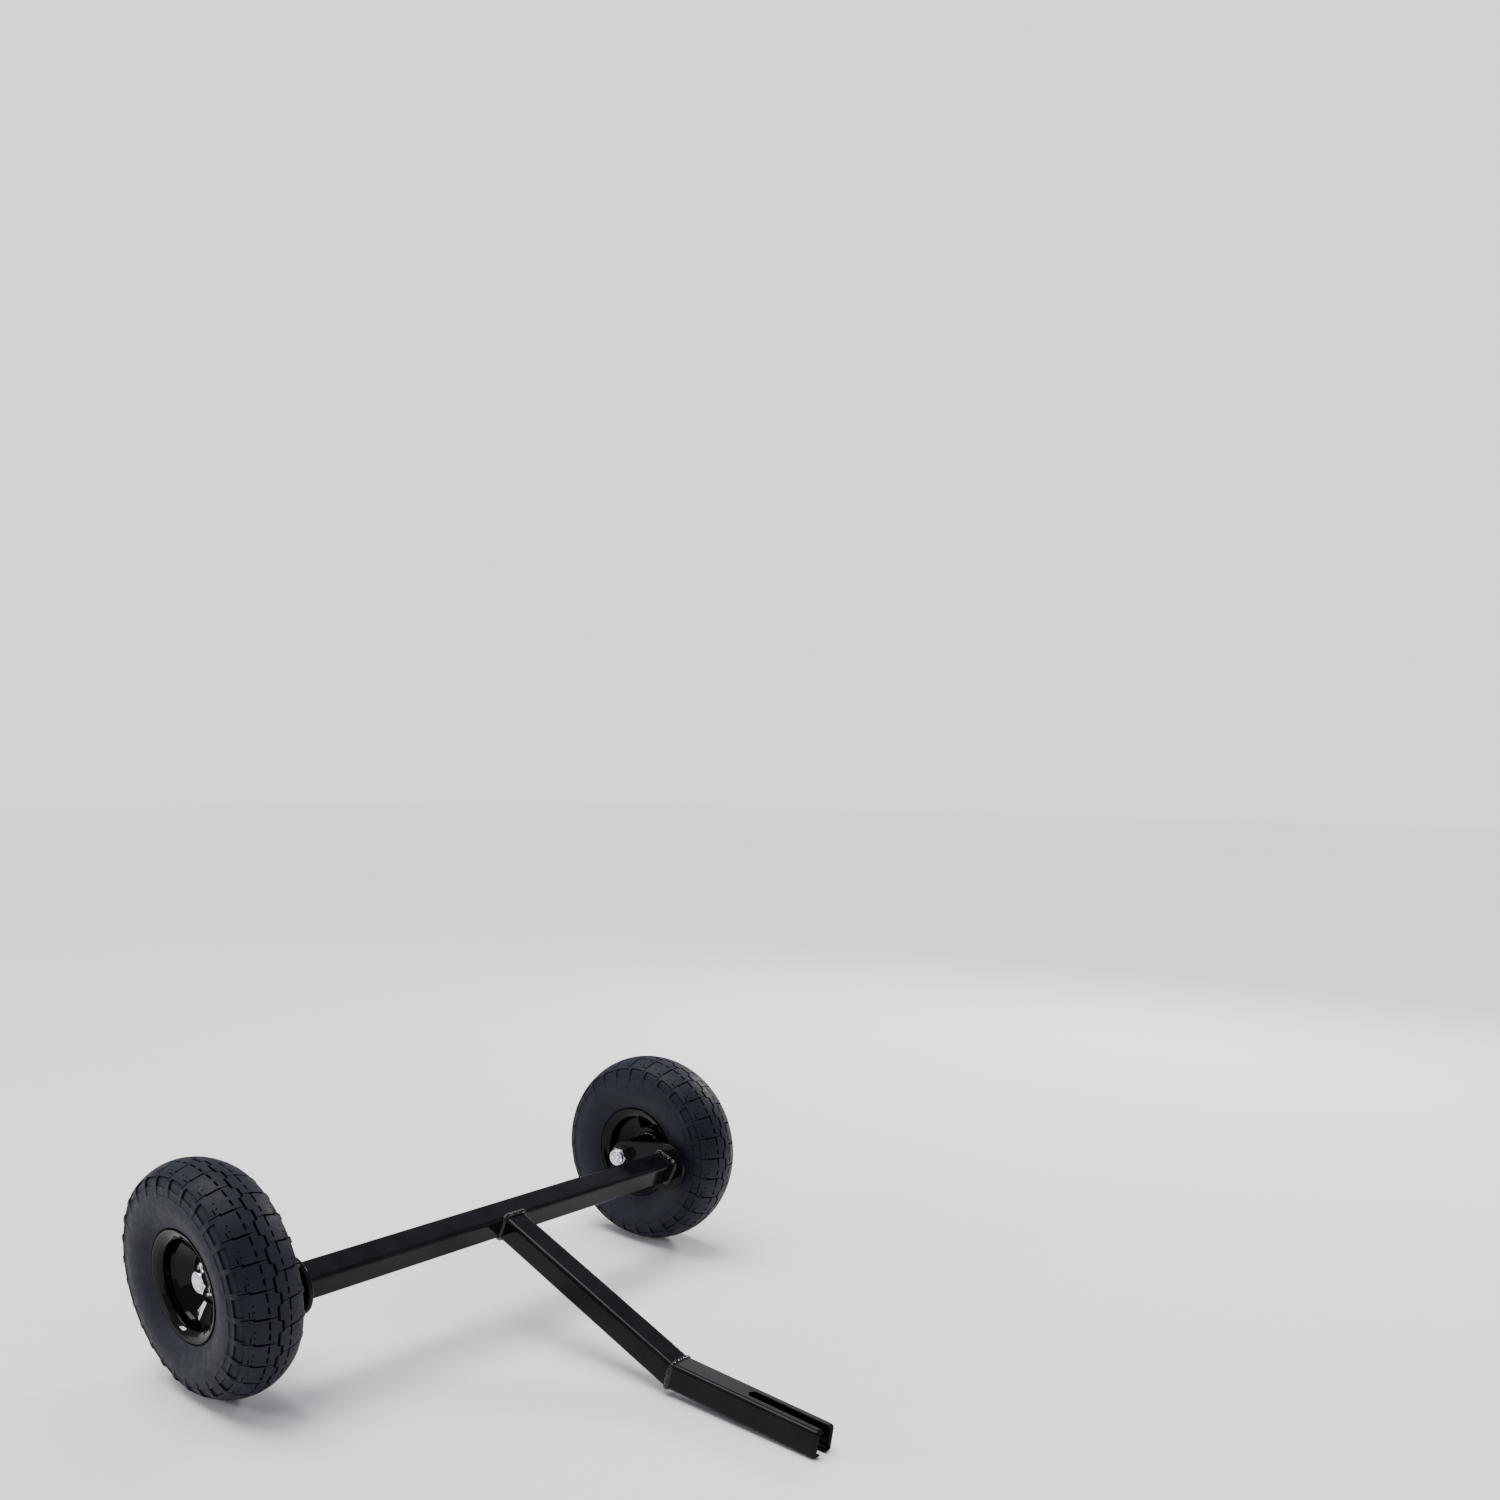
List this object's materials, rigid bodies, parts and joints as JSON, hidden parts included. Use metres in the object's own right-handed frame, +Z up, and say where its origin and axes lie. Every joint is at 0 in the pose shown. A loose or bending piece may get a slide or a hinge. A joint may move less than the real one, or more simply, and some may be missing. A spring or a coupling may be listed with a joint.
{
  "type": "tow cart",
  "caption": "Two-wheel tow cart: a T of welded square tube on small block-tread wheels, with a cranked tongue that ends in a slotted hitch.",
  "frame": {"origin": "on the ground, under the middle of the cart's box", "axes": "+X to the right wheel along the axle line, +Y backwards, away from the hitch, +Z up"},
  "size_m": [0.806, 0.656, 0.26],
  "materials": {
    "frame_paint": "gloss black powder coat on steel tube and plate",
    "weld_paint": "gloss black powder coat over rippled weld beads",
    "rim_paint": "deep gloss black enamel on pressed steel",
    "zinc": "bright zinc plate",
    "bearing_steel": "ground bearing steel",
    "plain_steel": "oiled plain steel",
    "shield": "blackened steel shield",
    "nylon": "white nylon",
    "tyre_rubber": "matte charcoal moulded rubber"
  },
  "bodies": {
    "frame": {"cross_tube": "frame_paint", "tongue_tube": "frame_paint", "hitch_tube": "frame_paint", "tongue_weld": "weld_paint", "elbow_weld": "weld_paint", "left_axle_plate": "frame_paint", "right_axle_plate": "frame_paint", "left_plate_weld": "weld_paint", "right_plate_weld": "weld_paint", "left_axle_bolt": "zinc", "right_axle_bolt": "zinc", "left_lock_nut": "zinc", "right_lock_nut": "zinc", "left_nut_insert": "nylon", "right_nut_insert": "nylon", "left_spacer_tube": "plain_steel", "right_spacer_tube": "plain_steel", "left_outboard_inner_ring": "bearing_steel", "left_inboard_inner_ring": "bearing_steel", "right_outboard_inner_ring": "bearing_steel", "right_inboard_inner_ring": "bearing_steel"},
    "left_wheel": {"left_outboard_outer_ring": "bearing_steel", "left_inboard_outer_ring": "bearing_steel", "left_outboard_balls": "bearing_steel", "left_inboard_balls": "bearing_steel", "left_outboard_shields": "shield", "left_inboard_shields": "shield", "left_hub_tube": "rim_paint", "left_hub_welds": "weld_paint", "left_rim_outboard": "rim_paint", "left_rim_inboard": "rim_paint", "left_tyre": "tyre_rubber"},
    "right_wheel": {"right_outboard_outer_ring": "bearing_steel", "right_inboard_outer_ring": "bearing_steel", "right_outboard_balls": "bearing_steel", "right_inboard_balls": "bearing_steel", "right_outboard_shields": "shield", "right_inboard_shields": "shield", "right_hub_tube": "rim_paint", "right_hub_welds": "weld_paint", "right_rim_outboard": "rim_paint", "right_rim_inboard": "rim_paint", "right_tyre": "tyre_rubber"}
  },
  "joints": [
    {"name": "left_wheel_spin", "type": "hinge", "parent": "frame", "child": "left_wheel", "pos_m": [-0.36, 0.19798, 0.13], "axis": [1, 0, 0], "continuous": true},
    {"name": "right_wheel_spin", "type": "hinge", "parent": "frame", "child": "right_wheel", "pos_m": [0.36, 0.19798, 0.13], "axis": [1, 0, 0], "continuous": true}
  ]
}
